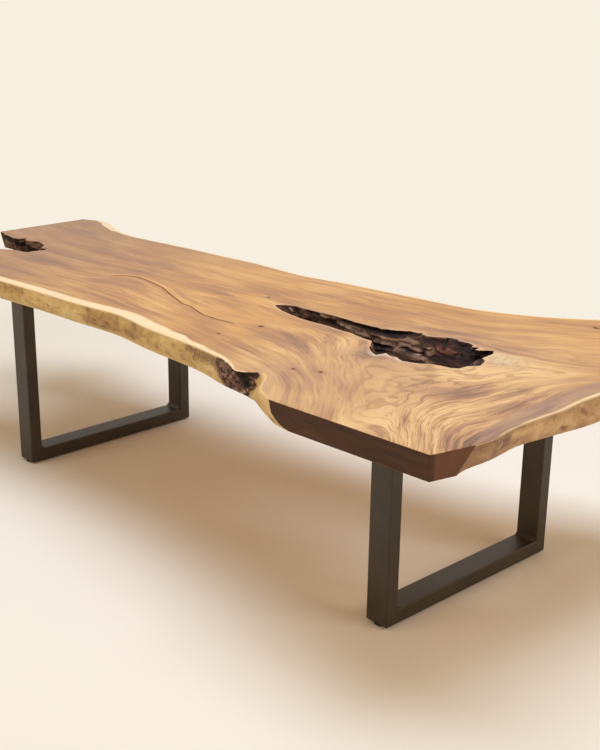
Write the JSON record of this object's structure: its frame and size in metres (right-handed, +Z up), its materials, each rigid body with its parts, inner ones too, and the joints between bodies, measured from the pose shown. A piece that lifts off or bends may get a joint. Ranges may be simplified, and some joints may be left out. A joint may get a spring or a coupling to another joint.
{
  "type": "live edge dining table",
  "caption": "Long live edge slab table with a natural void, a split end and two sawn cuts, on welded rectangular tube U frames with screw levellers.",
  "frame": {"origin": "on the floor under the middle of the slab's bounding box, levellers screwed home", "axes": "+X along the slab towards its broad natural end, +Y to the back edge, +Z up"},
  "size_m": [3.08, 1.475, 0.76],
  "materials": {
    "slab_wood": "clear satin oil",
    "black_frame": "satin powder coat",
    "zinc_plated": "bright zinc plate",
    "black_nylon": "moulded"
  },
  "bodies": {
    "table": {"tabletop_slab": "slab_wood", "right_leg_front_post": "black_frame", "right_leg_rear_post": "black_frame", "right_leg_foot_rail": "black_frame", "right_leg_mounting_plate": "black_frame", "right_leg_weld_fillets": "black_frame", "right_plate_screws": "zinc_plated", "right_plate_washers": "zinc_plated", "right_leveller_nuts": "zinc_plated", "left_leg_front_post": "black_frame", "left_leg_rear_post": "black_frame", "left_leg_foot_rail": "black_frame", "left_leg_mounting_plate": "black_frame", "left_leg_weld_fillets": "black_frame", "left_plate_screws": "zinc_plated", "left_plate_washers": "zinc_plated", "left_leveller_nuts": "zinc_plated"},
    "right_front_foot": {"right_front_leveller_foot": "black_nylon"},
    "right_front_stud": {"right_front_leveller_stud": "zinc_plated"},
    "right_rear_foot": {"right_rear_leveller_foot": "black_nylon"},
    "right_rear_stud": {"right_rear_leveller_stud": "zinc_plated"},
    "left_front_foot": {"left_front_leveller_foot": "black_nylon"},
    "left_front_stud": {"left_front_leveller_stud": "zinc_plated"},
    "left_rear_foot": {"left_rear_leveller_foot": "black_nylon"},
    "left_rear_stud": {"left_rear_leveller_stud": "zinc_plated"}
  },
  "joints": [
    {"name": "right_front_leveller_travel", "type": "slide", "parent": "table", "child": "right_front_foot", "axis": [0, 0, -1], "range_m": [0, 0.008]},
    {"name": "right_front_leveller_screw", "type": "hinge", "parent": "right_front_foot", "child": "right_front_stud", "pos_m": [1.1, -0.4275, 0.02], "axis": [0, 0, -1], "range_deg": [0, 2100]},
    {"name": "right_rear_leveller_travel", "type": "slide", "parent": "table", "child": "right_rear_foot", "axis": [0, 0, -1], "range_m": [0, 0.008]},
    {"name": "right_rear_leveller_screw", "type": "hinge", "parent": "right_rear_foot", "child": "right_rear_stud", "pos_m": [1.1, 0.3225, 0.02], "axis": [0, 0, -1], "range_deg": [0, 2100]},
    {"name": "left_front_leveller_travel", "type": "slide", "parent": "table", "child": "left_front_foot", "axis": [0, 0, -1], "range_m": [0, 0.008]},
    {"name": "left_front_leveller_screw", "type": "hinge", "parent": "left_front_foot", "child": "left_front_stud", "pos_m": [-0.734, -0.5575, 0.02], "axis": [0, 0, -1], "range_deg": [0, 2100]},
    {"name": "left_rear_leveller_travel", "type": "slide", "parent": "table", "child": "left_rear_foot", "axis": [0, 0, -1], "range_m": [0, 0.008]},
    {"name": "left_rear_leveller_screw", "type": "hinge", "parent": "left_rear_foot", "child": "left_rear_stud", "pos_m": [-0.734, 0.1925, 0.02], "axis": [0, 0, -1], "range_deg": [0, 2100]}
  ],
  "couplings": [
    {"joint": "right_front_leveller_screw", "follows": "right_front_leveller_travel", "rad_per_m": 4188.8},
    {"joint": "right_rear_leveller_screw", "follows": "right_rear_leveller_travel", "rad_per_m": 4188.8},
    {"joint": "left_front_leveller_screw", "follows": "left_front_leveller_travel", "rad_per_m": 4188.8},
    {"joint": "left_rear_leveller_screw", "follows": "left_rear_leveller_travel", "rad_per_m": 4188.8}
  ]
}
